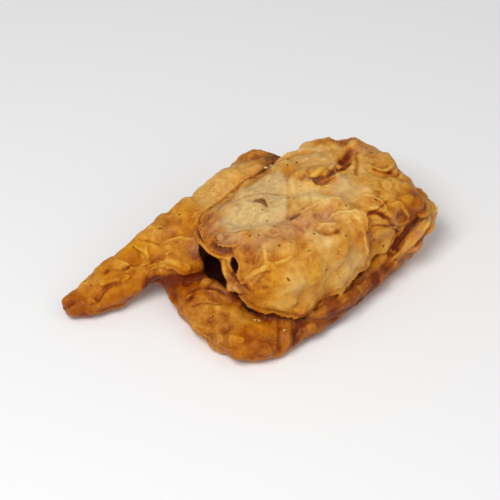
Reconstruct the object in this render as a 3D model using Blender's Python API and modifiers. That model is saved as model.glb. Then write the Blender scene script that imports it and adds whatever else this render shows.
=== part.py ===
"""Fried fish fillet: one battered fillet, folded on itself, its tail strip lying along one side.

Frame: +X runs along the fillet from the tail tip to the rolled fold, +Y across it towards the
tail strip, +Z up. The origin is under the middle of the fillet's box, on the surface it rests on.
The tables are measured from the middle of the ply that lies on the plate, and the finished body
is centred at the end. Lengths are in millimetres until a mesh is made.
"""

import math

import bmesh
import bpy
import numpy as np
from mathutils import Vector, noise

MM = 0.001

# Driving dimensions.
UNDER_THICK = 15.0  # the ply that lies on the plate
LOIN_THICK = 31.0  # the thick loin, folded over onto it
TAIL_THICK = 15.0
LIP_THICK = 8.0  # the batter lip rolled up round the fold
LUMP = 2.0  # height of the batter's broad lumps
LUMP_SPACING = 13.0
BLISTER = 1.3  # height of the smaller ones between them
BLISTER_SPACING = 6.0
SKIN_GRAIN = 1.6  # voxel of the skin that joins the plies
FACES_KEPT = 8800
CRUST_COLOUR = (0.451, 0.191, 0.040, 1.0)
CRUST_ROUGHNESS = 0.45

# Each ply is a row of stations: x, y and z of its middle, then width, thickness, and roll in degrees.
UNDER_PLY = [
    (-41, -12, 6.3, 50, UNDER_THICK * 0.9, 0),
    (-30, -12, 6.0, 60, UNDER_THICK, 0),
    (0, -8, 6.0, 75, UNDER_THICK, 0),
    (30, -6, 6.5, 76, UNDER_THICK, 0),
    (60, -10, 7.0, 62, UNDER_THICK, 0),
    (78, -14, 9.0, 42, UNDER_THICK * 0.9, 0),
]
LOIN = [
    (-23, -12, 25.5, 50, LOIN_THICK * 0.9, 3),
    (-4, -10.5, 27.0, 59, LOIN_THICK, 0),
    (25, -9, 28.5, 61, LOIN_THICK, 0),
    (52, -9, 27.5, 60, LOIN_THICK, 0),
    (75, -13, 25.0, 50, LOIN_THICK * 0.85, 0),
]
TAIL = [
    (-71.5, 37, 4.5, 10, TAIL_THICK * 0.53, 8),
    (-60, 35.5, 6.3, 16, TAIL_THICK * 0.73, 10),
    (-47.5, 32.5, 9.5, 22, TAIL_THICK * 0.9, 14),
    (-36, 31, 13.6, 22, TAIL_THICK * 0.85, 14),
    (-24, 24.5, 17.8, 31, TAIL_THICK * 0.9, 12),
    (-10, 22.5, 21.0, 32, TAIL_THICK, 8),
    (8, 23.5, 25.0, 29, TAIL_THICK, 4),
    (26, 25.5, 27.8, 27, TAIL_THICK, 0),
    (42, 26.5, 27.5, 22, TAIL_THICK * 0.8, 0),
]
LIP = [
    (40, -39, 10.0, 8, LIP_THICK, 0),
    (54, -39, 13.0, 10, LIP_THICK, 0),
    (66, -37, 17.0, 10, LIP_THICK, 0),
    (73, -32.5, 20.0, 11, LIP_THICK, 0),
    (75.5, -25, 22.0, 11, LIP_THICK, 0),
    (74, -14, 20.5, 10, LIP_THICK, 0),
    (73, 0, 17.0, 9, LIP_THICK, 0),
    (70, 11, 14.0, 8, LIP_THICK * 0.8, 0),
]

# Ridges and grooves of the crust: a width, a height (a depth if below 0), and a route over the skin.
CRUST_LINES = [
    # the gap between the loin and the under ply, and on inside the rolled lip
    (3.0, -3.0, [(-22, -12, 13), (-19, -27, 13), (-11, -37, 12), (6, -40, 12), (30, -39, 12)]),
    (3.0, -3.2, [(30, -39, 13), (46, -39, 15), (57, -37, 18), (66, -33, 21), (74, -28, 23)]),
    # the loin's crisp lower rim
    (3.0, 1.4, [(-22, -20, 19), (-15, -34, 18), (0, -39, 17), (18, -41, 18), (31, -39, 20)]),
    # a fold down the loin's end
    (3.0, 1.8, [(-10, -19, 42), (-14, -24, 40), (-16, -27, 37), (-21, -23, 31)]),
    # the batter's thick edge beside the bare flesh, and the hollow of the flesh
    (3.5, 1.6, [(-17, -5, 41), (-6, -14, 42), (6, -19, 43), (21, -20, 43), (32, -24, 43)]),
    (8.0, -1.5, [(-8, 0, 42), (4, -4, 43), (14, -3, 43), (22, 4, 43)]),
    # the loose flake down the loin's side, and the sunken panel behind its edge
    (3.0, 1.8, [(25, -25, 43), (31, -31, 41), (31, -38, 36), (28, -39, 29), (29, -40, 21)]),
    (3.0, -2.0, [(37, -36, 38), (35, -39, 32), (35, -39, 25), (36, -39, 17)]),
    # the crack and the knobs on top
    (2.5, -2.6, [(44, -9, 44), (52, -5, 43), (60, 1, 42)]),
    (3.5, 1.8, [(31, 2, 44), (36, -4, 44), (42, -10, 44)]),
    # the flap of crust that hangs over the pocket
    (2.6, 1.6, [(-20, 6, 34), (-23, -2, 33), (-24, -9, 28), (-23, -12, 20)]),
    # the tail's ledge and its crater
    (3.0, 1.6, [(-56, 27, 12), (-46, 25, 17), (-37, 22, 19), (-30, 15, 21), (-22, 8, 21)]),
    (3.5, -1.8, [(-40, 33, 20), (-37, 31, 20)]),
    # the turned edge of the under ply
    (3.0, 1.6, [(-36, 2, 12), (-30, 4, 13), (-26, -2, 13), (-22, -7, 14)]),
]

# The dark pocket between tail, loin and under ply: an ellipsoid's middle, radii and turn in degrees.
POCKET_MIDDLE = (-16, 3, 21.5)
POCKET_RADII = (18, 5.8, 12.5)
POCKET_TURN = (-30, 22, 47)


def clear_scene():
    for obj in list(bpy.data.objects):
        bpy.data.objects.remove(obj)


def new_collection(name):
    collection = bpy.data.collections.new(name)
    bpy.context.scene.collection.children.link(collection)
    return collection


def through(rows, steps):
    """Rows of numbers between the given ones, on a Catmull-Rom curve."""
    rows = np.array(rows, float)
    rows = np.vstack([2 * rows[0] - rows[1], rows, 2 * rows[-1] - rows[-2]])
    found = []
    for k in range(1, len(rows) - 2):
        a, b, c, d = rows[k - 1 : k + 3]
        for t in np.arange(steps) / steps:
            bend = (2 * a - 5 * b + 4 * c - d) * t**2 + (3 * b - a - 3 * c + d) * t**3
            found.append(0.5 * (2 * b + (c - a) * t + bend))
    found.append(rows[-2])
    return np.array(found)


def ply(stations, end_round, dome=2.6, skirt=2.6, steps=8, sides=40):
    """A closed flattened tube through the stations, with rounded ends.

    dome and skirt say how boxy its upper and lower halves are: 2 is an ellipse."""
    rows = through(stations, steps)
    middle = rows[:, :3]
    run = np.gradient(middle, axis=0)
    run /= np.linalg.norm(run, axis=1)[:, None]
    travelled = np.concatenate([[0], np.cumsum(np.linalg.norm(np.diff(middle, axis=0), axis=1))])
    to_end = np.minimum(travelled, travelled[-1] - travelled)
    shrink = np.sqrt(np.clip(1 - (1 - np.clip(to_end / end_round, 0.02, 1)) ** 2, 0, 1))
    bm = bmesh.new()
    rings = []
    for centre, ahead, row, share in zip(middle, run, rows, shrink):
        side = np.cross([0, 0, 1], ahead)
        side /= np.linalg.norm(side)
        up = np.cross(ahead, side)
        roll = math.radians(row[5])
        side, up = side * math.cos(roll) + up * math.sin(roll), up * math.cos(roll) - side * math.sin(roll)
        ring = []
        for k in range(sides):
            angle = 2 * math.pi * k / sides
            c, s = math.cos(angle), math.sin(angle)
            power = 2 / (dome if s > 0 else skirt)
            out = math.copysign(abs(c) ** power, c) * row[3] / 2 * share
            rise = math.copysign(abs(s) ** power, s) * row[4] / 2 * share
            ring.append(bm.verts.new(Vector(centre + side * out + up * rise) * MM))
        rings.append(ring)
    for near, far in zip(rings, rings[1:]):
        for k in range(sides):
            n = (k + 1) % sides
            bm.faces.new((near[k], near[n], far[n], far[k]))
    bm.faces.new(rings[0][::-1])
    bm.faces.new(rings[-1])
    bmesh.ops.recalc_face_normals(bm, faces=bm.faces)
    return bm


def folded_fillet(name, collection):
    """All four plies in one object, still overlapping."""
    plies = [
        ply(UNDER_PLY, 12, dome=3.0, skirt=3.0),
        ply(LOIN, 10, dome=2.5, skirt=4.5),
        ply(TAIL, 7),
        ply(LIP, 5, dome=2.0, skirt=2.0, steps=6, sides=16),
    ]
    mesh = bpy.data.meshes.new(name)
    whole = bmesh.new()
    for one in plies:
        one.to_mesh(mesh)
        whole.from_mesh(mesh)
        one.free()
    whole.to_mesh(mesh)
    whole.free()
    obj = bpy.data.objects.new(name, mesh)
    collection.objects.link(obj)
    return obj


def settle(obj):
    """Apply the object's modifiers to its mesh."""
    graph = bpy.context.evaluated_depsgraph_get()
    mesh = bpy.data.meshes.new_from_object(obj.evaluated_get(graph), depsgraph=graph)
    obj.modifiers.clear()
    obj.data = mesh


def give_one_skin(obj):
    remesh = obj.modifiers.new("one skin", "REMESH")
    remesh.mode = "VOXEL"
    remesh.voxel_size = SKIN_GRAIN * MM
    settle(obj)


def lumps(points, spacing, seed):
    """Rounded lumps with creases between them, from -0.5 to about 0.5."""
    shift = Vector((seed, 0, 0))
    return np.array([2 * abs(noise.noise(Vector(p) / spacing + shift)) - 0.5 for p in points])


def crust_line(points, width, height, route):
    """How far a ridge or groove along the route lifts each point."""
    line = through(route, 12)
    apart = np.linalg.norm(points[:, None] - line[None], axis=2).min(axis=1)
    return height * np.exp(-((apart / width) ** 2))


def raise_crust(obj):
    mesh = obj.data
    points = np.array([v.co for v in mesh.vertices]) / MM
    outward = np.array([v.normal for v in mesh.vertices])
    lift = LUMP * lumps(points, LUMP_SPACING, 4) + BLISTER * lumps(points, BLISTER_SPACING, 9)
    lift *= np.clip((points[:, 2] + 1) / 4, 0, 1)  # the underside stays nearly level
    for width, height, route in CRUST_LINES:
        lift += crust_line(points, width, height, route)
    mesh.vertices.foreach_set("co", ((points + outward * lift[:, None]) * MM).ravel())


def cut_pocket(obj, collection):
    bpy.ops.mesh.primitive_ico_sphere_add(subdivisions=3, radius=1)
    cutter = bpy.context.object
    cutter.name = "pocket cutter"
    cutter.location = Vector(POCKET_MIDDLE) * MM
    cutter.scale = Vector(POCKET_RADII) * MM
    cutter.rotation_euler = [math.radians(a) for a in POCKET_TURN]
    cutter.hide_render = True
    cutter.display_type = "WIRE"
    for old in cutter.users_collection:
        old.objects.unlink(cutter)
    collection.objects.link(cutter)
    cut = obj.modifiers.new("pocket", "BOOLEAN")
    cut.operation = "DIFFERENCE"
    cut.object = cutter
    settle(obj)


def thin_faces(obj):
    obj.data.calc_loop_triangles()
    thin = obj.modifiers.new("fewer faces", "DECIMATE")
    thin.ratio = FACES_KEPT / len(obj.data.loop_triangles)
    settle(obj)


def press_flat(obj):
    """Cut the underside off level at z = 0, and close it with a flat face."""
    bm = bmesh.new()
    bm.from_mesh(obj.data)
    everything = bm.verts[:] + bm.edges[:] + bm.faces[:]
    bmesh.ops.bisect_plane(bm, geom=everything, plane_co=(0, 0, 0), plane_no=(0, 0, -1), clear_outer=True)
    bmesh.ops.holes_fill(bm, edges=[e for e in bm.edges if e.is_boundary])
    bmesh.ops.triangulate(bm, faces=bm.faces)
    bm.to_mesh(obj.data)
    bm.free()


def centre(obj):
    """Move the body so that the middle of its box is over the origin; gives where it was."""
    places = np.array([v.co for v in obj.data.vertices])
    middle = (places.min(axis=0) + places.max(axis=0)) / 2
    middle[2] = 0
    obj.data.vertices.foreach_set("co", (places - middle).ravel())
    return middle


def fried_batter():
    material = bpy.data.materials.new("fried batter")
    material.use_nodes = True
    shader = material.node_tree.nodes["Principled BSDF"]
    shader.inputs["Base Color"].default_value = CRUST_COLOUR
    shader.inputs["Roughness"].default_value = CRUST_ROUGHNESS
    shader.inputs["Metallic"].default_value = 0.0
    return material


clear_scene()
food = new_collection("fried fish fillet")
cutters = new_collection("cutters")
fillet = folded_fillet("fillet", food)
give_one_skin(fillet)
cut_pocket(fillet, cutters)
give_one_skin(fillet)
raise_crust(fillet)
thin_faces(fillet)
press_flat(fillet)
middle = centre(fillet)
print("the middle of the tables' box, in mm:", middle / MM)
fillet.data.materials.clear()
fillet.data.materials.append(fried_batter())
fillet.data.shade_smooth()
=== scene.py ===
import math

import bmesh
import bpy
import numpy as np
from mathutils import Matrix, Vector, noise
from mathutils.bvhtree import BVHTree


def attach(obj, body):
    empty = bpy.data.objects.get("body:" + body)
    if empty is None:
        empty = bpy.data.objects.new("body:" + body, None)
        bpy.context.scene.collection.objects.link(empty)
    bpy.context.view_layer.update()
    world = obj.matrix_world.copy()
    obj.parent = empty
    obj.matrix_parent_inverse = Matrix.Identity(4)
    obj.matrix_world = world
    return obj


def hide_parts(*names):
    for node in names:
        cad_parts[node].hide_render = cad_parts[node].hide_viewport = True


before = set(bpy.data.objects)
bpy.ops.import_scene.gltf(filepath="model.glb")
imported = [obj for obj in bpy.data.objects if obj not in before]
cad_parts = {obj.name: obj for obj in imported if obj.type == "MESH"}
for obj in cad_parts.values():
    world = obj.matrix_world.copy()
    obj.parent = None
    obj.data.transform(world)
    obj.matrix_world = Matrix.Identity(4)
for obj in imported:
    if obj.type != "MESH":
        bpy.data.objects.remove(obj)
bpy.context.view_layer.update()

scene = bpy.context.scene
MM = 0.001

# ---- The crust's body ----
# The fillet was dipped in batter, folded over and fried, so loin, tail, under ply and lip are
# one body under one crust. It starts as a copy of the solid's mesh, made finer and smoothed.
# Places are in millimetres in the frame's own axes, and each is laid on the solid's skin.
WELD = 1e-6  # metres
BODY_GRAIN = 0.7  # the mesh's first spacing
BODY_ROUNDS = 12  # of smoothing
LINE_STEP = 0.6  # between the places of a line that is laid on the skin
LINE_ROUNDS = 10  # of smoothing
REACH = 2.6  # how many widths a line's effect reaches to its sides


def settle(obj):
    """Apply the object's modifiers to its mesh."""
    graph = bpy.context.evaluated_depsgraph_get()
    mesh = bpy.data.meshes.new_from_object(obj.evaluated_get(graph), depsgraph=graph)
    obj.modifiers.clear()
    obj.data = mesh


def one_skin(obj, grain):
    """Fuse all that the object's mesh holds into one closed skin."""
    remesh = obj.modifiers.new("one skin", "REMESH")
    remesh.mode = "VOXEL"
    remesh.voxel_size = grain * MM
    settle(obj)


def read(items, name, wide, kind=np.float32):
    """A property of all the items, with a row of numbers for each."""
    flat = np.empty(wide * len(items), kind)
    items.foreach_get(name, flat)
    return flat.reshape(-1, wide)


def places(mesh):
    return read(mesh.vertices, "co", 3).astype(float) / MM


def put_back(mesh, points):
    mesh.vertices.foreach_set("co", (points * MM).astype(np.float32).ravel())
    mesh.update()


def outward(mesh):
    return read(mesh.vertex_normals, "vector", 3).astype(float)


def edges_of(mesh):
    return read(mesh.edges, "vertices", 2, np.int32)


def evened(values, edges, rounds):
    """Each value drawn half-way to the mean of its neighbours', round by round."""
    a, b = edges.T
    count = np.maximum(np.bincount(edges.ravel(), minlength=len(values)), 1)
    for _ in range(rounds):
        total = [np.bincount(a, one[b], len(one)) + np.bincount(b, one[a], len(one)) for one in values.T]
        values = (values + np.array(total).T / count[:, None]) / 2
    return values


def unit(rows):
    return rows / np.maximum(np.linalg.norm(rows, axis=-1, keepdims=True), 1e-9)


def rise(values, low, high):
    """0 below low, 1 above high, and a smooth rise between."""
    t = np.clip((values - low) / (high - low), 0, 1)
    return t * t * (3 - 2 * t)


def waves(points, spacing, seed):
    """Smooth noise from -1 to 1."""
    moved = (points / spacing + (seed * 7.3, seed * 3.1, -seed * 5.7)).tolist()
    return np.array([noise.noise(p) for p in moved])


def bent(points, spacing, by, seed):
    """The points pushed about by slow noise, so that what is drawn on them wanders."""
    push = [waves(points, spacing, seed + k) for k in (0.1, 0.4, 0.7)]
    return points + by * np.array(push).T


def around(points, place, radius):
    """1 at a place, and nothing from about two radii away."""
    return np.exp(-((points - place) ** 2).sum(axis=1) / radius**2)


def strongest(points, spots):
    """The most that any of the spots gives each point. A spot is a place, a radius and an amount."""
    return np.max([amount * around(points, place, radius) for place, radius, amount in spots], axis=0)


def fall(apart, width):
    """1 at no distance, and nothing from about two widths away."""
    return np.exp(-((apart / width) ** 2))


def ended(along, early):
    """1 along a route, and less near its ends."""
    return rise(along, -early, 0.2) * rise(1 + early - along, 0, early + 0.2)


def through(rows, spacing):
    """Places no further apart than spacing, on a Catmull-Rom curve through the given ones."""
    rows = np.array(rows, float)
    rows = np.vstack([2 * rows[0] - rows[1], rows, 2 * rows[-1] - rows[-2]])
    found = []
    for k in range(1, len(rows) - 2):
        a, b, c, d = rows[k - 1 : k + 3]
        steps = math.ceil(np.linalg.norm(c - b) / spacing)
        for t in np.arange(steps) / steps:
            bend = (2 * a - 5 * b + 4 * c - d) * t**2 + (3 * b - a - 3 * c + d) * t**3
            found.append(0.5 * (2 * b + (c - a) * t + bend))
    found.append(rows[-2])
    return np.array(found)


def skin_of(mesh):
    return BVHTree.FromPolygons(places(mesh).tolist(), [tuple(p.vertices) for p in mesh.polygons])


def laid(route, skin):
    """A smooth line through the route, laid on a skin: its places, and outward and right there."""
    spots = [skin.find_nearest(place) for place in through(route, LINE_STEP)]
    line = np.array([spot[0] for spot in spots])
    out = np.array([spot[1] for spot in spots])
    for _ in range(LINE_ROUNDS):
        for rows in (line, out):
            rows[1:-1] = (rows[:-2] + 2 * rows[1:-1] + rows[2:]) / 4
    out = unit(out)
    ahead = unit(np.gradient(line, axis=0))
    return line, out, unit(np.cross(ahead, out))


def beside(points, facing, route, skin, wide):
    """The points near a route: which they are, how far off it, and how far along it."""
    line, out, _ = laid(route, skin)
    inside = (points > line.min(axis=0) - wide) & (points < line.max(axis=0) + wide)
    some = np.flatnonzero(inside.all(axis=1))
    gap = points[some][:, None] - line[None]
    nearest = (gap**2).sum(axis=2).argmin(axis=1)
    apart = np.linalg.norm(gap[np.arange(len(some)), nearest], axis=1)
    keep = (apart < wide) & ((facing[some] * out[nearest]).sum(axis=1) > -0.3)
    return some[keep], apart[keep], nearest[keep] / (len(line) - 1)


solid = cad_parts["fillet"].data
solid_skin = skin_of(solid)
crust = bpy.data.objects.new("fried_crust", solid.copy())
scene.collection.objects.link(crust)
loose = bmesh.new()
loose.from_mesh(crust.data)
bmesh.ops.remove_doubles(loose, verts=loose.verts, dist=WELD)
loose.to_mesh(crust.data)
loose.free()
one_skin(crust, BODY_GRAIN)
points = evened(places(crust.data), edges_of(crust.data), BODY_ROUNDS)
put_back(crust.data, points)
facing = outward(crust.data)

# ---- Its folds, lumps and blisters ----
# Batter sets in wandering folds about 5 mm apart, with round blisters between them. It lies
# smoother over the thick loin, over the bare flesh and on the tail's back.
FOLD = 0.38
FOLD_SPACING = 6.5
BLISTER = 0.32
BLISTER_SPACING = 4.0
CALM = [
    ((-15, -35, 33), 10, 0.75), ((-12, -30, 39), 8, 0.65), ((0, -38, 30), 9, 0.55),
    ((8, -38, 32), 7, 0.5), ((-4, -40, 21), 6, 0.5), ((-20, -12, 41), 5, 0.5), ((-52, 36, 14), 7, 0.4),
    ((-33, 32, 24), 7, 0.4), ((-8, -1, 42), 11, 0.9), ((3, -6, 43), 9, 0.8), ((13, 7, 40), 11, 0.75),
    ((18, -6, 44), 8, 0.5), ((18, -39, 27), 8, 0.7), ((37, -38, 22), 8, 0.8), ((-18, 29, 28), 8, 0.5),
    ((-60, 26, 10), 6, 0.6), ((5, -32, 39), 7, 0.6), ((-28, -24, 11), 7, 0.4), ((18, -43, 9), 7, 0.6),
    ((30, -42, 10), 7, 0.6), ((44, -42, 10), 6, 0.5), ((62, -38, 20), 5, 0.4),
]


def calmness(points):
    return strongest(points, CALM)


calm = calmness(points)
wandering = bent(points, 8.0, 2.2, 3)
folds = 0.9 - 2.4 * np.abs(waves(wandering, FOLD_SPACING, 5))
blisters = 2.4 * np.abs(waves(wandering, BLISTER_SPACING, 8)) - 0.6
patchy = 0.75 + 0.5 * waves(points, 11.0, 12)
lift = (FOLD * folds + BLISTER * blisters) * patchy * (1 - calm)
lift *= rise(points[:, 2], 0.3, 3.5)  # the bed that it rests on stays level

# Routes that more than one thing follows.
SEAM = [(-29, 5, 35), (-26, 11, 35), (-16, 21, 30), (-4, 23, 32), (11, 24, 32), (30, 22, 36)]
FLESH_SEAM = [(21, 6, 42), (17, 0, 42), (14, -3, 42), (7, -10, 44), (2, -14, 43)]
BLOCK_SEAM = [(-4, 12, 40), (6, 7, 41), (10, 3, 41), (14, -2, 41)]
HOLLOW_EDGE = [(7, -26, 42), (10, -30, 41), (13, -32, 41), (16, -32, 41)]
CAVITY = [(46, -2, 42), (50, -1, 41), (55, 1, 40)]
TOP_CLEFT = [(57, 1, 40), (50, -7, 42), (45, -12, 42)]
TOP_CURL = [(53, -12, 41), (55, -17, 40), (59, -18, 40), (65, -14, 38)]
SIDE_CURL = [(44, -34, 39), (49, -34, 36), (52, -36, 30), (50, -36, 27), (45, -37, 29)]
SIDE_CREASE = [(32, -32, 41), (35, -34, 40), (38, -36, 38), (41, -38, 33)]
LIP_CREASE = [(67, -37, 21), (64, -40, 19), (56, -41, 16), (46, -42, 14)]
CRATER_RIM = [(-49, 37, 17), (-47, 33, 16), (-46, 29, 17)]
HOOKED_RIM = [(-39, 38, 19), (-38, 34, 20), (-38, 30, 20), (-40, 26, 20), (-45, 26, 18)]
ROUND_END = [(-30, 26, 24), (-27, 23, 25), (-24, 20, 26), (-22, 16, 27)]
CROOKED_CRACK = [(-41, 2, 13), (-38, 1, 13), (-36, 3, 13), (-31, 1, 13), (-28, -4, 15), (-27, -9, 15)]
CORNER_BREAK = [(-18, -30, 11), (-21, -34, 11), (-26, -39, 9), (-27, -40, 5)]
FRONT_BREAK = [(-11, -38, 10), (-16, -40, 10), (-20, -43, 5)]
RIM_HOLLOW = [(-26, 0, 37), (-25, -4, 37), (-24, -7, 37)]

# Ridges and grooves: a width, a height (a depth if below 0), and a route.
RIDGES = [
    # the seam between loin and tail
    (0.9, -0.8, SEAM),
    # the loin's left end: the folds that run on to the swollen front, and the hollow above them
    (6.0, 1.2, [(-22, -28, 33), (-15, -35, 33), (-8, -37, 32)]),
    (3.2, -1.7, [(-20, -15, 40), (-21, -18, 39), (-24, -18, 34)]),
    # the bare flesh: the edges of its blocks, and the streaks beyond it
    (0.7, -0.8, FLESH_SEAM),
    (0.6, -0.3, BLOCK_SEAM),
    (1.3, -1.5, [(3, 4, 42), (3.5, 2, 42), (2.5, -1, 42), (1, -4, 42)]),
    (0.7, -0.6, [(24, 4, 43), (17, -5, 43), (10, -13, 44)]),
    (0.7, -0.6, [(27, -1, 45), (21, -8, 44), (14, -16, 45)]),
    # the grey hollow beyond it, with a shining ridge along its lower edge
    (3.0, -0.9, [(14, -22, 43), (17, -25, 43)]),
    (1.1, -1.0, HOLLOW_EDGE),
    (3.5, 0.9, [(2, -29, 40), (7, -32, 39), (13, -35, 37)]),
    # the knobs on top: cavity, slit, and the curl beside them
    (2.6, -2.6, CAVITY),
    (1.0, -1.4, TOP_CLEFT),
    (1.8, 0.9, TOP_CURL),
    (1.2, -1.2, [(51, -14, 42), (53, -19, 40), (60, -21, 39)]),
    # the loin's side towards the lip: a curl, and the creases round it
    (1.2, 0.8, SIDE_CURL),
    (1.5, -1.4, [(46, -36, 34), (48, -36, 31)]),
    (1.2, -1.3, SIDE_CREASE),
    (1.0, -1.3, LIP_CREASE),
    # the tail: a long fold, the rims of two craters, and the ridge at its round end
    (1.2, -1.6, [(-68, 30, 9), (-64, 31, 11), (-59, 30, 14), (-56, 29, 14), (-52, 26, 15)]),
    (5.0, 1.2, [(-66, 27, 8), (-59, 26, 11), (-53, 24, 12)]),
    (1.3, 0.7, CRATER_RIM),
    (1.5, 0.9, HOOKED_RIM),
    (1.3, 0.8, ROUND_END),
    (2.2, -1.1, [(-31, 29, 24), (-27, 27, 25), (-23, 26, 27)]),
    (1.6, -2.4, [(-78, 40, 6), (-75, 38, 6), (-73, 37, 8)]),
    # the under ply: a crooked crack along its ledge, and the breaks down its front corner
    (0.9, -0.9, CROOKED_CRACK),
    (1.0, -0.8, CORNER_BREAK),
    (1.2, 1.4, [(-15, -34, 10), (-20, -38, 11), (-25, -42, 6)]),
    (2.0, -0.9, FRONT_BREAK),
    (1.6, -1.2, [(-12, -40, 10), (-4, -43, 8), (4, -44, 6)]),
    # its front wall, which rises to meet the loin
    (3.5, 1.6, [(-8, -40, 11), (6, -42, 11), (20, -42, 11), (34, -41, 11)]),
    # a hollow inside the rim over the pocket
    (1.5, -1.8, RIM_HOLLOW),
]
for width, height, route in RIDGES:
    some, apart, along = beside(points, facing, route, solid_skin, REACH * width)
    unsteady = 1 + 0.35 * waves(points[some], 3.0, 21)
    lift[some] += height * ended(along, 0.25) * unsteady * fall(apart, width)

# Knobs and craters: a radius, a height (a depth if below 0), and where.
KNOBS = [
    (2.6, 1.7, [(28, -2, 45), (32, -6, 45), (37, -2, 44)]),
    (3.0, 1.0, [(60, 5, 41), (53, 12, 40)]),
    (4.0, 1.3, [(54, 16, 38), (47, 20, 37)]),
    (2.6, -1.8, [(57, 8, 41)]),
    (2.2, -2.2, [(25, 1, 44), (40, -5, 43)]),
    (2.2, -1.4, [(28, -7, 44), (34, -8, 44)]),
    (5.0, -1.2, [(-42, 34, 17), (-38, 23, 20)]),
    (4.0, -3.5, [(-20, 9, 14), (-22, 6, 14)]),
    (4.5, 2.2, [(-28, 3, 14)]),
    (2.0, -1.5, [(-36, -10, 13), (-34, -15, 13), (-40, -13, 11), (-40, -21, 12), (-37, -21, 12)]),
    (3.5, 1.4, [(-40, -28, 11), (-38, -16, 12), (-29, -16, 12)]),
    (3.0, 1.6, [(57, -35, 32), (54, -34, 36)]),
    (4.5, 1.4, [(36, -39, 16)]),
    (5.0, -0.8, [(38, -38, 26)]),
    (4.5, 2.2, [(60, -35, 29), (65, -32, 28)]),
    (3.0, -1.4, [(-24, -31, 28), (3, -38, 30), (53, -31, 38)]),
    # broad swells and hollows round the outline
    (5.0, 1.5, [(33, 25, 35), (50, 18, 37), (-29, 37, 24), (-22, 37, 26), (62, -13, 40)]),
    (5.0, -1.6, [(25, 37, 34), (21, -44, 8), (19, -44, 5), (71, -28, 25), (45, -42, 11), (49, -41, 6)]),
    (3.5, -1.2, [(74, -23, 24), (-44, 4, 5), (-46, -2, 5)]),
    (5.0, 1.2, [(8, 37, 32)]),
    (4.0, -1.0, [(64, -1, 40), (-46, -22, 5), (-45, 12, 4)]),
    (4.0, 1.2, [(66, -9, 39)]),
    (4.0, -1.4, [(44, -43, 12), (16, -44, 6), (-43, 8, 7), (-45, 2, 8), (-47, -5, 8), (-54, 24, 6)]),
    (3.5, -3.0, [(-42, 18, 11)]),
    (4.0, 1.4, [(66, -38, 19), (-74, 39, 7), (-70, 30, 4), (-27, -41, 4)]),
]
for radius, height, where in KNOBS:
    for place in where:
        spot = np.array(solid_skin.find_nearest(place)[0])
        lift += height * around(points, spot, radius)
points = points + facing * lift[:, None]
put_back(crust.data, points)

# ---- The crisp edges, rolled folds and flakes of the crust ----
# Where the crust tore or rolled up it ends in thin crisp edges and rounded folds that stand off
# the body, and flakes of set batter stick to it all over. All of them are fused to the skin.
EDGE_THICK = 1.1
EDGE_ROOT = 1.5  # how deep each starts below the skin
EDGE_ROWS = 5
FINE_GRAIN = 0.5
body_skin = skin_of(crust.data)


def tapered(line, least, power):
    """Along a line: least at its ends, and 1 at its middle."""
    return np.clip(np.sin(np.pi * np.linspace(0, 1, len(line))), least, 1)[:, None] ** power


def loft(shape, rings):
    """A closed body through rings of places."""
    rings = [[shape.verts.new(place) for place in ring] for ring in rings]
    count = len(rings[0])
    for near, far in zip(rings, rings[1:]):
        for k in range(count):
            n = (k + 1) % count
            shape.faces.new((near[k], near[n], far[n], far[k]))
    shape.faces.new(rings[0][::-1])
    shape.faces.new(rings[-1])


def thin_edge(height, lean, route, seed):
    """A curved edge along the route that leans to the route's right, its rim uneven."""
    line, out, right = laid(route, body_skin)
    uneven = 1 + 0.45 * waves(line, 2.6, seed) + 0.4 * waves(line, 1.2, seed + 1)
    tall = height * uneven[:, None] * tapered(line, 0.05, 0.5)
    sides = []
    for side in (1, -1):
        for share in (np.arange(EDGE_ROWS + 1) / EDGE_ROWS)[::side]:
            angle = math.radians(lean) * (0.55 + 0.45 * share)
            place = line - out * EDGE_ROOT * (1 - share)
            place = place + tall * share * (out * math.cos(angle) + right * math.sin(angle))
            half = EDGE_THICK / 2 * (1 - 0.3 * share)
            sides.append(place - side * half * (right * math.cos(angle) - out * math.sin(angle)))
    loft(added, np.stack(sides, axis=1))


def rolled_fold(radius, lift, route, seed):
    """A round fold along the route, thinner at its ends, its axis lifted off the skin."""
    line, out, right = laid(route, body_skin)
    taper = tapered(line, 0.08, 0.6)
    thick = taper * (radius + min(0.35 * radius, 0.4) * waves(line, 2.6, seed)[:, None])
    middle = line + out * lift * taper
    angles = 2 * math.pi * np.arange(8) / 8
    sides = [middle + thick * (np.cos(angle) * right + np.sin(angle) * out) for angle in angles]
    loft(added, np.stack(sides, axis=1))


def slot(width, depth, route, seed):
    """A slot along the route that narrows as it goes in, to be taken out of the body."""
    line, out, right = laid(route, body_skin)
    taper = tapered(line, 0.1, 0.6)
    half = width / 2 * taper * (1 + 0.4 * waves(line, 1.8, seed)[:, None])
    section = ((-1.3, 1.5), (-1, 0), (-0.4, -depth), (0.4, -depth), (1, 0), (1.3, 1.5))
    sides = [line + side * half * right + up * (taper if up < 0 else 1) * out for side, up in section]
    loft(taken, np.stack(sides, axis=1))


def in_metres(shape):
    """Turn a made shape's faces outwards, and bring it from millimetres to metres."""
    bmesh.ops.recalc_face_normals(shape, faces=shape.faces)
    bmesh.ops.scale(shape, vec=(MM, MM, MM), verts=shape.verts)


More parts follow.
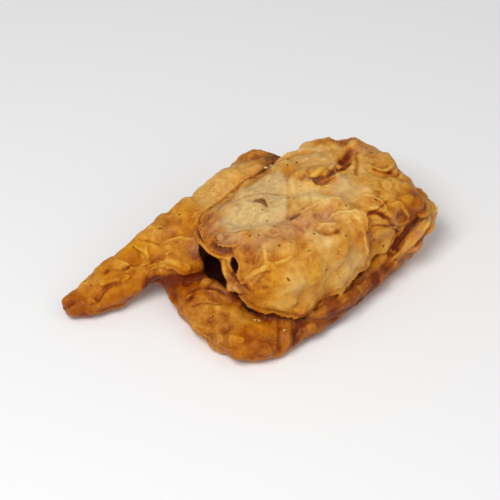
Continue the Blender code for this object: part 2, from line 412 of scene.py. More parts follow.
# Slots: a width, a depth, and a route.
KNOB_SLOT = [(42, -5, 42), (46, -5, 41), (49, -5, 41)]
SLOTS = [
    # the slit into the loin's left end
    (4.4, 6.0, [(-24, -9.5, 35), (-24.5, -10.5, 34), (-25, -11.5, 32), (-25.5, -13, 29)]),
    # the torn notch in the bare flesh, and the crack at its corner
    (1.6, 1.6, [(1.5, 4.5, 41), (3, 3.5, 42), (4, 1.5, 42)]),
    (1.3, 2.6, [(2, -15.5, 43), (4, -16, 43), (6.5, -16.5, 45)]),
    # between the knobs on top
    (1.6, 2.8, KNOB_SLOT),
    (1.1, 1.6, [(26, -3, 45), (27, -6, 45), (30, -8, 45)]),
    (1.6, 2.2, [(37, -5, 43), (41, -5, 43), (44, -3, 42)]),
    # under the loin's lower rim
    (2.4, 4.0, [(-28, -13, 19), (-27, -17, 17), (-25, -21, 15), (-22, -26, 13)]),
    # the under ply's crooked crack and pits
    (0.9, 1.6, [(-38, 1, 13), (-36, 3, 13), (-31, 1, 13), (-28, -4, 15)]),
]
taken = bmesh.new()
for seed, (width, depth, route) in enumerate(SLOTS):
    slot(width, depth, route, 80 + seed)
in_metres(taken)
cutter = bpy.data.objects.new("slots", bpy.data.meshes.new("slots"))
taken.to_mesh(cutter.data)
taken.free()
scene.collection.objects.link(cutter)
opened = crust.modifiers.new("slots", "BOOLEAN")
opened.operation = "DIFFERENCE"
opened.solver = "MANIFOLD"
opened.object = cutter
settle(crust)
bpy.data.objects.remove(cutter)

added = bmesh.new()
THIN_EDGES = [
    # the loin's lower rim, overhanging the under ply
    (2.6, 50, [(-28, -13, 22), (-27, -19, 21), (-25, -25, 17), (-20, -31, 16), (-12, -37, 17), (0, -39, 17)]),
    (2.2, 50, [(-4, -39, 17), (6, -40, 17), (14, -40, 18), (21, -40, 19), (26, -38, 20)]),
    # the flap of crust that ends over the pocket's rim
    (2.2, 68, [(-22, 4, 39), (-24, 1, 38), (-23, -2, 38), (-22, -5, 39), (-21, -9, 40)]),
    # the yellow flake at the loin's front corner, and the edge under it
    (2.4, 62, [(24, -38, 36), (27, -35, 39), (27, -32, 41), (24, -29, 42), (19, -27, 43), (14, -26, 43)]),
    (1.8, 45, [(24, -39, 22), (23, -39, 28), (23, -38, 34), (25, -37, 38)]),
    # the crust's torn border against the bare flesh
    (1.8, 60, [(-6, -12, 43), (-13, -11, 43), (-19, -8, 42), (-22, -2, 40), (-25, 2, 38)]),
    (1.4, 60, [(19, -18, 46), (12, -18, 45), (6, -17, 44), (-1, -15, 43)]),
    # a pale flake on top, the sunken panel's upper edge, and the lip's inner rim
    (2.0, 62, [(38, -35, 38), (41, -31, 39), (39, -28, 41), (36, -24, 42)]),
    (1.4, 50, [(48, -36, 18), (45, -38, 25), (42, -38, 29), (38, -37, 32), (32, -36, 34)]),
    (1.3, 25, [(44, -41, 15), (52, -41, 17), (60, -39, 19), (65, -37, 21)]),
    # the tail's ledge and its lower edge
    (2.6, 62, [(-45, 23, 18), (-41, 22, 20), (-37, 19, 21), (-35, 14, 21), (-32, 10, 19), (-28, 8, 18)]),
    (1.6, 50, [(-70, 31, 6), (-64, 28, 5), (-57, 25, 5), (-50, 23, 6)]),
    # the under ply's ledge
    (1.8, 45, [(-41, 3, 12), (-36, 4, 13), (-31, 2, 14), (-28, -5, 15)]),
    (2.8, 60, [(-39, 15, 9), (-40, 11, 8), (-42, 6, 8), (-44, 1, 8)]),
    (1.0, 55, [(-44, 0, 8), (-44, -6, 9), (-45, -14, 8), (-44, -24, 8), (-38, -35, 8)]),
]
for seed, (height, lean, route) in enumerate(THIN_EDGES):
    thin_edge(height, lean, route, 30 + 2 * seed)

# Rolled folds: a radius, how far the axis stands off the skin, and a route.
ROLLED_FOLDS = [
    # the curled rim over the pocket, and the strip between pocket and slit
    (0.9, 0.7, [(-27, 9, 36), (-28, 6, 35), (-29, 1, 35), (-28, -4, 34), (-26, -9, 35)]),
    (0.7, 0.0, [(-28, -6, 33), (-28, -8, 31), (-28, -9, 28), (-28, -10, 25)]),
    # the hooked fold over the swollen front
    (0.7, 0.1, [(-17, -19, 43), (-18, -22, 43), (-20, -25, 41)]),
    (1.9, 0.6, [(-20, -26, 41), (-22, -26.5, 39.5), (-24, -25, 37), (-25.5, -22, 34), (-26, -20, 32)]),
    (1.0, 0.0, [(-18, -27, 40), (-15, -28, 39), (-12, -29, 39), (-9, -29, 40)]),
    # the knob under the slit
    (2.3, 1.6, [(-29, -11, 25), (-30, -13.5, 24), (-30, -16, 22)]),
    (1.3, 1.6, [(-27, -15, 27), (-29, -16, 25), (-29, -19, 23)]),
    # the torn notch's curled side
    (0.6, 0.4, [(5, 3, 42), (5, 1, 42), (3.5, -2, 42), (1.5, -5, 43)]),
    # below the grey hollow
    (0.8, 0.3, [(9, -26, 43), (11, -26, 43), (14, -29, 43), (16, -29, 42)]),
    # the knobs on top, and the pale curl in front of them
    (1.6, 0.6, [(25, -3, 46), (28, -4, 46), (31, -4, 46), (34, -5, 45)]),
    (1.3, 0.5, [(35, -4, 44), (39, -3, 43), (43, -1, 42)]),
    (0.7, 0.5, [(30, -9, 44), (34, -8, 43), (37, -9, 44), (41, -7, 42)]),
    (0.9, 0.3, TOP_CURL),
    # the curl on the loin's side, and the lip's inner strands
    (0.8, 0.3, SIDE_CURL),
    (2.4, 0.6, [(62, -37, 23), (57, -38, 21), (52, -38, 18), (46, -39, 16), (40, -39, 14), (35, -39, 12)]),
    (1.1, 0.9, [(66, -37, 23), (61, -40, 20), (54, -41, 18), (47, -41, 16)]),
    # the rims of the tail's craters, and its ledge
    (0.8, 0.3, CRATER_RIM),
    (0.9, 0.3, HOOKED_RIM),
    (0.8, 0.3, ROUND_END),
    # the wall that rises from the under ply to the loin's lower rim
    (3.4, 0.4, [(-14, -36, 13), (-4, -40, 13), (6, -41, 13), (18, -41, 13), (30, -39, 13), (38, -38, 13)]),
    (3.0, 2.0, [(-8, -37, 12), (0, -37, 12), (4, -36, 11), (8, -36, 11), (14, -37, 13), (22, -38, 15)]),
    # the crust that fills the corner between the loin's far end and the lip
    (3.0, 1.3, [(57, -37, 29), (61, -35, 27), (65, -33, 26), (68, -30, 25)]),
    (2.2, 0.8, [(64, -34, 22), (59, -34, 21), (54, -35, 19), (48, -36, 17), (42, -37, 15)]),
    (3.4, 2.6, [
        (14, -40, 12), (20, -37, 10), (24, -35, 9), (28, -36, 11),
        (32, -35, 12), (37, -37, 15), (42, -38, 17),
    ]),
    # the torn crust along the loin's back
    (1.4, 1.1, [(27, 20, 38), (32, 19, 39), (38, 19, 39), (44, 17, 39)]),
    # lumps on the under ply beside the pocket
    (2.2, 0.4, [(-32, 3, 14), (-29, 2, 16), (-27, 0, 17)]),
]
for seed, (radius, lift, route) in enumerate(ROLLED_FOLDS):
    rolled_fold(radius, lift, route, 60 + seed)

# Flakes of two sizes: how many, the least and most radius, and the least and most tilt.
FLAKES = [(60, 0.5, 1.1, 8, 30), (80, 1.6, 3.2, 6, 15)]
FLAKE_THICK = 0.7
FLAKE_BOW = 0.18
CORNERS = 9
HALF_SIZE = (76, 45, 24)  # of the whole fillet
LEAST_HEIGHT = 2.5  # no flake lies lower, or where the crust is calmer than this
MOST_CALM = 0.35
angles = 2 * math.pi * np.arange(CORNERS)[:, None] / CORNERS
random = np.random.default_rng(12)
for count, least, most, least_tilt, most_tilt in FLAKES:
    made = 0
    while made < count:
        aim = random.uniform(-1, 1, 3) * HALF_SIZE + (0, 0, HALF_SIZE[2])
        size = random.uniform(least, most)
        turn = random.uniform(0, 2 * math.pi)
        tilt = math.radians(random.uniform(least_tilt, most_tilt))
        narrow = random.uniform(0.45, 0.9)
        wobble = random.uniform(0.6, 1.15, CORNERS)
        spot, out, _, _ = body_skin.find_nearest(aim)
        spot, out = np.array(spot), np.array(out)
        if spot[2] < LEAST_HEIGHT or calmness(spot[None])[0] > MOST_CALM:
            continue
        made += 1
        across = unit(np.cross(out, (0.3, 0.5, 0.81)))
        ahead = math.cos(turn) * across + math.sin(turn) * np.cross(out, across)
        face = math.cos(tilt) * out + math.sin(tilt) * ahead
        ahead = unit(ahead - face * ahead.dot(face))
        across = np.cross(face, ahead)
        rings = []
        for side, spread in ((0.5, 0.8), (0.1, 1.0), (-0.5, 0.85)):
            reach = size * spread * wobble[:, None]
            ring = spot + face * (side * FLAKE_THICK - FLAKE_BOW * reach * np.cos(angles) ** 2)
            ring = ring + reach * np.cos(angles) * ahead
            rings.append(ring + reach * narrow * np.sin(angles) * across)
        loft(added, rings)
in_metres(added)
added.from_mesh(crust.data)
added.to_mesh(crust.data)
added.free()
one_skin(crust, FINE_GRAIN)

# ---- Its grain and its triangles ----
# Up close the crust is rough with grains of a millimetre or two. The mesh is brought down to
# what one piece may hold, and pressed level where it lies.
GRAIN = 0.15
GRAIN_SPACING = 1.5
TRIANGLES = 195000
points = evened(places(crust.data), edges_of(crust.data), 1)
put_back(crust.data, points)
facing = outward(crust.data)
grains = 2.2 * np.abs(waves(points, GRAIN_SPACING, 41)) - 0.55 + 0.5 * waves(points, 0.9, 43)
grains *= 0.4 + 0.9 * rise(waves(points, 9.0, 44), -0.3, 0.4)
grains *= (1 - calmness(points)) * rise(points[:, 2], 0.2, 1.5)
points += facing * (GRAIN * grains)[:, None]

# Creases: a width, a depth, and a route.
LIP_GROOVE = [(62, -35, 23), (59, -36, 22), (53, -37.5, 22), (48, -38, 19), (41, -40, 18), (38, -38, 15)]
UNDER_LOIN = [(-29, -12, 21), (-27, -15, 18), (-26, -17, 15), (-25, -19, 13), (-24, -22, 13), (-22, -26, 12)]
CREASES = [
    # the groove inside the lip
    (1.3, 2.2, LIP_GROOVE),
    # under the loin's lower rim, and its border on the knob
    (1.4, 1.8, UNDER_LOIN),
    (0.7, 0.8, [(-26, -11, 29), (-27, -13, 28), (-27, -16, 28), (-27, -19, 27)]),
    # under the hooked fold
    (0.9, 0.8, [(-27, -24, 34), (-26, -26, 36), (-24, -28, 37), (-21, -29, 38)]),
    # the sunken panel's edges
    (0.8, 0.9, [(32, -35, 35), (37, -37, 33), (42, -37, 30), (45, -38, 24), (41, -40, 21), (39, -39, 15)]),
    (0.7, 0.6, [(30, -37, 34), (26, -39, 31), (24, -40, 25), (24, -40, 19)]),
    # the seam's left end, and the bare flesh's far edge
    (0.6, 0.8, [(-27, 5, 35), (-25, 9, 35), (-20, 13, 36), (-14, 16, 35)]),
    (0.5, 0.5, [(21, 6, 42), (17, 1, 42), (14, -3, 42), (10, -6, 44), (2, -14, 43)]),
    # behind the knobs, and across the loin's far end
    (0.8, 0.9, [(26, 0, 44), (28, -8, 43), (34, -9, 43), (41, -7, 42)]),
    (0.7, 0.7, [(53, -20, 40), (60, -22, 39), (66, -18, 37)]),
    (0.7, 0.6, [(27, -33, 40), (34, -33, 40), (40, -32, 39), (46, -31, 39)]),
    # across the tail and round its craters
    (0.7, 0.7, [(-52, 35, 15), (-49, 31, 16), (-46, 31, 16), (-43, 29, 17)]),
    (0.7, 0.6, [(-66, 29, 10), (-60, 31, 13), (-55, 29, 14)]),
    (0.6, 0.5, [(-36, 36, 22), (-34, 31, 23), (-33, 27, 23)]),
    # down the under ply's front corner, and over its top
    (0.7, 0.7, [(-13, -37, 11), (-17, -40, 9), (-20, -42, 5)]),
    (0.5, 0.4, [(-40, -2, 12), (-36, -4, 13), (-33, -9, 13), (-30, -10, 14)]),
]
fine_skin = skin_of(crust.data)
for width, depth, route in CREASES:
    some, apart, along = beside(points, facing, route, fine_skin, REACH * width)
    unsteady = 1 + 0.5 * waves(points[some], 2.0, 22)
    cut = depth * ended(along, 0.1) * unsteady * fall(apart, width)
    points[some] -= facing[some] * cut[:, None]
points[:, 2] = np.maximum(points[:, 2], 0)
put_back(crust.data, points)
fewer = crust.modifiers.new("fewer triangles", "DECIMATE")
fewer.ratio = TRIANGLES / (2 * len(crust.data.polygons))
settle(crust)
crust.data.shade_smooth()

# ---- Its browning and painted shade ----
# How brown each place is fried, from 0 for cream to 1 for dark red-brown, and how amber its
# colour is, from 0 for tan. Both are set by place and broken up by noise. Painted shade and
# painted highlight go into the same tone: creases, hollows and the pocket darker, crests paler.
points = places(crust.data)
facing = outward(crust.data)
edges = edges_of(crust.data)
fine_crest = ((points - evened(points, edges, 6)) * facing).sum(axis=1)
broad_crest = ((points - evened(points, edges, 60)) * facing).sum(axis=1)

BROWNED_AND_SHADED = [
    # the tail, from its tip to its round end; the darkest, under its ledge at (-42, 18, 14), is painted shade
    ((-72, 35, 9), 6, 0.92, 1.0), ((-64, 37, 12), 6, 0.55, 0.5), ((-60, 27, 11), 6, 0.82, 1.0),
    ((-52, 36, 15), 6, 0.68, 0.9), ((-50, 27, 14), 6, 0.64, 1.0), ((-42, 34, 17), 5, 0.56, 1.0),
    ((-47, 33, 17), 3, 0.45, 0.82), ((-38, 30, 21), 4, 0.42, 0.8), ((-37, 24, 21), 4, 0.78, 1.0),
    ((-38, 20, 20), 3, 0.4, 0.78), ((-31, 24, 24), 5, 0.55, 0.8), ((-26, 18, 25), 5, 0.52, 0.6),
    ((-25, 9, 21), 4, 0.75, 0.9), ((-33, 12, 18), 3, 0.62, 0.9), ((-42, 18, 14), 4, 1.0, 0.7),
    ((-30, 30, 25), 6, 0.54, 0.55), ((-20, 25, 26), 4, 0.58, 0.9), ((-13, 29, 29), 6, 0.52, 0.8),
    ((0, 29, 30), 8, 0.3, 0.1), ((15, 28, 34), 7, 0.46, 0.3), ((30, 29, 34), 6, 0.7, 0.5),
    ((-60, 20, 5), 8, 0.85, 1.0),
    # the loin's top
    ((-22, 10, 35), 5, 0.7, 0.75), ((-8, 12, 39), 5, 0.53, 0.26), ((8, 16, 38), 6, 0.51, 0.26),
    ((24, 20, 36), 6, 0.52, 0.1), ((20, -5, 43), 6, 0.15, 0.2), ((19, -14, 46), 5, 0.15, 0.25),
    ((-20, -9, 42), 6, 0.7, 0.58), ((-12, -16, 43), 6, 0.44, 0.15), ((-3, -20, 43), 5, 0.57, 0.2),
    ((8, -21, 44), 6, 0.5, 0.4), ((16, -25, 43), 4, 0.5, 0.0), ((30, -4, 45), 5, 0.62, 0.7),
    ((37, -6, 43), 5, 0.46, 0.42), ((33, -17, 44), 6, 0.36, 0.0), ((40, 10, 41), 9, 0.36, 0.1),
    ((52, -2, 41), 6, 0.42, 0.45), ((48, -16, 41), 8, 0.46, 0.45), ((60, -10, 40), 8, 0.55, 0.4),
    ((62, -24, 38), 7, 0.56, 0.5), ((40, -29, 40), 6, 0.42, 0.45), ((50, -30, 39), 6, 0.41, 0.45),
    # the loin's front and end
    ((-24, -22, 35), 5, 0.56, 0.5), ((-25, -25, 29), 5, 0.72, 1.0), ((-20, -30, 36), 5, 0.68, 0.9),
    ((-14, -36, 33), 6, 0.39, 0.34), ((-6, -32, 39), 6, 0.54, 0.6), ((-20, -33, 25), 5, 0.45, 0.65),
    ((-8, -38, 25), 6, 0.48, 0.5), ((5, -33, 39), 6, 0.44, 0.22), ((6, -39, 27), 6, 0.34, 0.45),
    ((18, -39, 28), 6, 0.31, 0.36), ((14, -34, 38), 5, 0.52, 0.42), ((23, -31, 42), 4, 0.32, 0.32),
    ((12, -40, 19), 5, 0.38, 0.25), ((-26, -15, 27), 5, 0.58, 0.7),
    # the loin's side, the groove and the lip
    ((35, -37, 30), 5, 0.58, 0.55), ((36, -39, 18), 6, 0.52, 0.75), ((48, -35, 33), 5, 0.65, 0.9),
    ((56, -34, 33), 6, 0.9, 1.0), ((68, -28, 26), 6, 0.62, 0.6), ((62, -38, 19), 5, 0.45, 0.65),
    ((50, -40, 16), 5, 0.54, 0.68), ((70, -36, 20), 5, 0.54, 0.58),
    # the under ply; its front wall under the loin is darkest, partly its own browning and partly painted
    # shade
    ((-36, 8, 12), 6, 0.93, 1.0), ((-33, 0, 13), 5, 0.74, 0.9), ((-42, 2, 8), 5, 0.64, 0.4),
    ((-38, -10, 12), 7, 0.62, 0.52), ((-42, -20, 10), 7, 0.68, 0.45), ((-30, -18, 12), 6, 0.54, 0.75),
    ((-36, -32, 9), 7, 0.8, 0.9), ((-26, -30, 11), 6, 0.68, 1.0), ((-26, -40, 7), 6, 0.8, 0.8),
    ((-10, -42, 8), 7, 0.84, 0.5), ((6, -43, 8), 7, 0.93, 0.45), ((22, -43, 8), 7, 0.92, 0.45),
    ((40, -43, 10), 7, 0.85, 0.52), ((56, -42, 14), 7, 0.77, 0.58), ((0, 0, 0), 30, 0.78, 0.7),
]
FAR_SHARE = 0.02  # what a place has from none of them is evenly fried
FAR_TONE = 0.6
FAR_AMBER = 0.5
shares = np.full(len(points), FAR_SHARE)
brown_and_shade = shares * FAR_TONE
amber = shares * FAR_AMBER
roaming = bent(points, 6.0, 2.0, 51)
for place, radius, tone, hue in BROWNED_AND_SHADED:
    share = around(roaming, place, radius)
    shares += share
    brown_and_shade += share * tone
    amber += share * hue
brown_and_shade /= shares
amber /= shares

# Smaller patches over those: how much browner, how much more amber, and where. Some paint light
# or shade: those on the under ply's front wall and at (-26, -13, 18) darken places under the
# loin's rim as painted shade, and that at (-19, -31, 10) lightens the shadow strip there as
# painted light.
PATCHES = [
    (0.27, 0.2, [(26, -34, 39), (28, -42, 12), (-26, -13, 18)]),
    (0.21, 0.12, [(2, -43, 13), (14, -39, 34), (42, -35, 37)]),
    (0.14, 0.12, [(11, -41, 14), (23, -37, 35), (22, -39, 29), (38, -40, 12), (-26, -4, 35)]),
    (0.11, 0.0, [(-34, -39, 10), (-16, -36, 35), (-38, -17, 13), (41, -27, 41), (14, -29, 43)]),
    (0.14, 0.0, [(-18, -21, 42), (-9, -20, 44)]),
    (0.08, 0.0, [(-20, -15, 39), (-41, -12, 10), (-20, -41, 10), (-27, -14, 27)]),
    (0.08, 0.0, [(-38, 18, 21), (-4, -31, 40), (-21, 28, 27), (-27, -22, 25)]),
    (0.08, 0.3, [(48, 4, 42), (-25, 14, 23), (54, -41, 18), (-4, -40, 30), (24, -3, 44)]),
    (0.05, -0.2, [(24, 24, 35), (-25, 32, 27)]),
    (0.2, -0.5, [(34, 26, 34), (28, 24, 36)]),
    (-0.08, 0.0, [(-57, 32, 15), (-35, 12, 15), (54, 3, 39), (36, -33, 40), (47, -5, 40), (20, -31, 41)]),
    (-0.08, 0.0, [(-9, -28, 41), (5, -40, 16)]),
    (-0.12, 0.0, [(-13, -24, 41), (-17, -28, 38), (-3, -39, 13)]),
    (-0.14, -0.1, [(-33, -11, 13), (-24, -28, 19), (-21, -33, 20), (-29, -25, 12), (23, -39, 13)]),
    (-0.12, -0.1, [(-16, -36, 11), (11, -33, 40), (49, -11, 42)]),
    (-0.19, -0.1, [(6, -29, 40), (7, -12, 44), (-19, -31, 10)]),
    (-0.1, 0.4, [(59, -36, 21), (50, -36, 18), (28, -6, 44), (40, -37, 33)]),
]
PATCH = 4.5  # radius
for browner, more_amber, where in PATCHES:
    for place in where:
        share = around(roaming, place, PATCH)
        brown_and_shade += browner * share
        amber += more_amber * share

# Slow drifts of tone far from all the places, drifts of colour, then mottling from coarse to fine.
far = FAR_SHARE / shares
brown_and_shade += far * (0.16 * waves(points, 12.0, 72) + 0.1 * waves(points, 5.0, 73))
amber += far * 0.4 * waves(points, 15.0, 74)
amber += 0.2 * waves(points, 9.0, 58)
amber += 0.15 * waves(points, 2.6, 62)
mottled = 0.7 + 0.5 * rise(points[:, 2], 18, 32)  # the top is more finely mottled than the sides
brown_and_shade += 0.05 * waves(roaming, 7.0, 55)
brown_and_shade += mottled * (0.04 * waves(points, 2.8, 56) + 0.03 * waves(points, 1.3, 57))
brown_and_shade += mottled * 0.09 * rise(waves(points, 2.0, 64), 0.42, 0.55)
brown_and_shade += 0.05 * rise(waves(points, 3.4, 59), 0.28, 0.5) - 0.07 * rise(waves(points, 4.2, 60), 0.28, 0.5)
# Painted highlight and shade: crests are paler, and creases and hollows darker.
brown_and_shade -= mottled * np.clip(0.65 * fine_crest, -0.12, 0.13) + np.clip(0.07 * broad_crest, -0.09, 0.08)
# The torn crust round the bare flesh is more mottled: a place and a radius.
MOTTLED = [((-9, -16, 43), 5), ((1, -18, 44), 5), ((10, -19, 45), 5), ((-19, -7, 42), 4), ((-4, 20, 34), 6)]
blotches = rise(waves(points, 1.6, 81), 0.15, 0.4)
for place, radius in MOTTLED:
    brown_and_shade += 0.2 * around(roaming, place, radius) * blotches

# Dark and pale lines: darker along cracks, seams and grooves, partly deeper frying and partly
# painted shade; paler along rims, lips and curled folds, partly thinner crust and partly painted
# highlight. A width, how much browner (paler if below 0), and a route.
BROWN_SHADE_AND_GLINT_LINES = [
    (0.6, 0.18, SEAM),
    (0.7, 0.35, [(-29, 4, 35), (-28, 7, 36), (-25, 12, 35), (-20, 17, 33)]),
    # painted shadow under the loin's lower rim
    (2.5, 0.42, [(-28, -12, 17), (-26, -20, 15), (-22, -27, 12), (-14, -34, 12)]),
    (1.0, 0.45, LIP_GROOVE),
    (1.8, -0.32, [(66, -36, 24), (63, -38, 22), (58, -40, 20), (51, -41, 18), (45, -41, 16)]),
    (1.0, 0.25, LIP_CREASE),
    (1.0, 0.4, SLOTS[2][2]),
    (0.9, 0.35, [(1.5, 4.5, 41), (3, 4, 42), (4, 2.5, 42)]),
    (1.3, 0.2, [(3, 4, 42), (3.5, 2, 42), (2.5, -1, 42)]),
    (2.0, 0.35, CAVITY),
    (0.8, 0.5, KNOB_SLOT),
    (1.0, 0.3, TOP_CLEFT),
    (1.4, 0.3, [(24, 1, 44), (28, -7, 44), (34, -8, 44), (40, -5, 43)]),
    (1.2, 0.24, HOLLOW_EDGE),
    (1.0, 0.28, [(48, -36, 19), (45, -37, 26), (42, -37, 30), (38, -36, 33)]),
    (1.0, 0.3, SIDE_CREASE),
    (0.8, 0.3, CROOKED_CRACK),
    (0.8, 0.12, CORNER_BREAK),
    (1.8, 0.15, FRONT_BREAK),
    # paler on the tail ledge's lip: painted highlight
    (1.0, -0.25, [(-42, 23, 20), (-37, 20, 22), (-35, 15, 22), (-32, 10, 19)]),
    # painted shade at the pocket's mouth, round the knob under the slit and under the tail's ledge
    (1.8, 0.4, [(-25, 11, 24), (-23, 11, 20), (-24, 9, 17), (-28, 8, 15)]),
    (0.8, 0.35, [(-26, -11, 29), (-27, -13, 28), (-27, -16, 28)]),
    (0.9, 0.3, [(-25, -17, 30), (-25, -19, 29), (-27, -21, 27)]),
    (1.8, 0.3, [(-32, 10, 16), (-36, 13, 15), (-40, 16, 14), (-44, 20, 12), (-49, 23, 8)]),
    # paler along the curled rims and the hooked fold: painted highlight
    (1.2, -0.3, ROLLED_FOLDS[0][2]),
    (1.2, -0.25, ROLLED_FOLDS[1][2]),
    (1.2, -0.2, ROLLED_FOLDS[2][2]),
    (1.4, -0.25, ROLLED_FOLDS[3][2]),
    (1.6, 0.22, RIM_HOLLOW),
    # paler along a flake's edge and two ridges: thinner crust and painted highlight
    (1.2, -0.22, [(25, -37, 38), (27, -33, 41), (24, -29, 42), (18, -27, 43)]),
    (0.9, -0.3, [(31, -10, 44), (35, -9, 44), (38, -9, 44), (42, -7, 42)]),
    (0.8, -0.3, [(10, -26, 43), (12, -28, 43), (15, -29, 43)]),
]
# Painted shade along the creases carved in the finished skin.
BROWN_SHADE_AND_GLINT_LINES += [(width, 0.13, route) for width, _, route in CREASES[2:]]


def close_to(route, wide):
    """The finished crust's points near a route: which, how far off it, and how far along it."""
    return beside(points, facing, route, body_skin, wide)


for width, amount, route in BROWN_SHADE_AND_GLINT_LINES:
    some, apart, along = close_to(route, REACH * width)
    brown_and_shade[some] += amount * ended(along, 0.25) * fall(apart, width)

# Dark red accents in the cavities, slots, cracks and grooves, partly the crust's deeper browning
# and partly painted shade: a width, an amount, and a route.
RED_SHADE_ACCENTS = [
    (1.5, 0.42, [(56, 3, 40), (53, 2, 38), (50, 1, 38), (46, -1, 40)]),
    (0.8, 0.6, [(42, -5, 41), (46, -4, 40), (49, -4, 40)]),
    (0.9, 0.45, [(36, -6, 44), (31, -7, 45), (28, -5, 44)]),
    (0.8, 0.4, [(28, 1, 46), (27, -2, 46), (26, -4, 46)]),
    (0.9, 0.5, [(33, -32, 39), (36, -33, 38), (38, -35, 36)]),
    (0.8, 0.4, [(53, -14, 41), (54, -17, 41), (58, -20, 40)]),
    (1.8, 0.75, [(62, -35, 23), (59, -36, 22), (54, -37, 21), (49, -38, 19), (45, -38, 17)]),
    (0.8, 0.4, [(-49, 32, 16), (-47, 31, 16), (-45, 31, 17)]),
    (1.0, 0.25, [(1.5, 4.5, 41), (3, 4, 42), (3.5, 1.5, 42)]),
    (0.7, 0.35, [(-56, 36, 15), (-54, 36, 15)]),
    (2.2, 0.35, [(-32, 10, 16), (-37, 13, 15), (-41, 16, 13), (-45, 20, 11)]),
    (2.5, 0.25, [(62, 6, 40), (56, 11, 40), (50, 16, 38)]),
]
for width, amount, route in RED_SHADE_ACCENTS:
    some, apart, _ = close_to(route, REACH * width)
    near = amount * fall(apart, width)
    brown_and_shade[some] += near
    amber[some] += 1.6 * near


wandered = bent(bent(points, 4.0, 1.3, 61), 1.4, 0.5, 66)[:, :2]


def inside(outline, soft):
    """1 inside an outline seen from above, 0 outside, with a soft wandering border."""
    ring = np.array(outline, float)
    nearest = np.full(len(points), 1e9)
    crossings = np.zeros(len(points), bool)
    for a, b in zip(ring, np.roll(ring, -1, axis=0)):
        side = b - a
        t = np.clip(((wandered - a) @ side) / side.dot(side), 0, 1)
        nearest = np.minimum(nearest, np.linalg.norm(wandered - a - t[:, None] * side, axis=1))
        spans = (wandered[:, 1] < a[1]) != (wandered[:, 1] < b[1])
        meets = a[0] + (wandered[:, 1] - a[1]) / (side[1] or 1e-9) * side[0]
        crossings ^= spans & (wandered[:, 0] < meets)
    signed = np.where(crossings, nearest, -nearest)
    return rise(signed, -soft, soft) * rise(points[:, 2], 34, 38)


FLESH = [(-18, 5), (-11, 9), (3, 7), (9, 4), (14, -2), (7, -10), (2, -14), (-6, -13), (-13, -8), (-20, -4)]
FLESH_BEHIND = [(-8, 12), (0, 6), (10, 2), (15, -4), (18, -1), (22, 6), (23, 14), (12, 16), (2, 15)]
FLESH_FADE = [(-23, 4), (-17, 9), (-9, 12), (-2, 10), (-4, -14), (-10, -15), (-20, -9), (-25, -3)]
# Where the crust is thin, where the flesh is pinkish, and the painted shade in the pocket: a place, a radius
# and an amount.
THIN_CRUST = [
    ((33, -16, 44), 5, 0.6), ((36, -20, 43), 4, 0.5), ((18, -38, 26), 6, 0.35), ((20, -6, 43), 7, 0.6),
    ((-16, -2, 41), 4, 0.6),
]
PINKISH = [
    ((15, -23, 43), 3.5, 1.0), ((-18, 6, 38), 5, 0.5), ((-2, -18, 43), 6, 0.7), ((6, -21, 44), 6, 0.65),
    ((-14, -17, 43), 5, 0.5), ((-20, -4, 41), 4, 0.5), ((36, -12, 44), 3, 0.6), ((41, -9, 43), 2.5, 0.5),
    ((62, -2, 40), 6, 0.4), ((-8, 14, 38), 5, 0.4), ((-25, 14, 25), 4, 0.5), ((-29, -15, 24), 3, 0.6),
    ((64, -38, 21), 4, 0.6), ((57, -40, 19), 4, 0.6), ((50, -41, 17), 4, 0.5), ((44, -36, 32), 4, 0.4),
]
POCKET_SHADE_SPOTS = [
    ((-20, 5, 22), 5, 1.6), ((-15, 4, 20), 8, 1.6), ((-15, 12, 12), 6, 1.6), ((-18, 7, 10), 6, 1.6),
    ((-17, 1, 15), 7, 1.6), ((-23, 2, 17), 3.5, 1.6),
]
bare = np.maximum(0.95 * inside(FLESH, 1.6), 0.85 * inside(FLESH_BEHIND, 2.0))
bare = np.maximum(bare, 0.55 * inside(FLESH_FADE, 3.0) * rise(waves(points, 3.0, 67), -0.5, 0.3))
bare = np.maximum(bare, strongest(roaming, THIN_CRUST))
pink = strongest(roaming, PINKISH)
painted_shade = strongest(points, POCKET_SHADE_SPOTS)
# The torn notch and the seams between the flesh's blocks take the crust's darker colour: partly browning,
# partly painted shade in their hollows.
notch = [(2, 4.5, 41), (3.5, 3, 42), (3, -1, 42)]
some, apart, _ = close_to(notch, 2.5)
bare[some] *= 0.15 + 0.85 * rise(apart, 0.5, 2.0)  # the torn notch is browned
for route in (FLESH_SEAM, BLOCK_SEAM):
    some, apart, _ = close_to(route, 2.5)
    bare[some] *= 0.6 + 0.4 * rise(apart, 0.2, 1.2)  # and so are the seams between the blocks
# Painted shade also darkens the crack at the flesh's corner, the strip under the loin's rim and the walls of
# the slots.
crack = [(2.5, -16, 44), (4, -16.2, 44), (6.5, -17, 45)]
some, apart, _ = close_to(crack, 2.5)
painted_shade[some] = np.maximum(painted_shade[some], 0.85 * fall(apart, 0.6))
some, apart, along = close_to(UNDER_LOIN, 4)
painted_shade[some] = np.maximum(painted_shade[some], 0.7 * rise(1.2 - along, 0, 0.6) * fall(apart, 1.5))
sunk = np.zeros(len(points))  # how far the slots' walls lie below the skin
for _, depth, route in SLOTS:
    some, _, _ = close_to(route, 1.2 * depth)
    for k in some:
        spot, out, _, _ = body_skin.find_nearest(points[k])
        sunk[k] = max(sunk[k], (spot - Vector(points[k])).dot(out))
painted_shade = np.maximum(painted_shade, rise(sunk, 0.5, 1.3))


def store(mesh, name, values, kind="FLOAT", field="value"):
    layer = mesh.attributes.new(name, kind, "POINT")
    layer.data.foreach_set(field, np.array(values, np.float32).ravel())


fried_and_shade_values = {"browning_and_shade": brown_and_shade, "amber": amber, "bare": bare, "pink": pink}
for name, values in (fried_and_shade_values | {"painted_shade": painted_shade}).items():
    store(crust.data, name, np.clip(values, 0, 1))

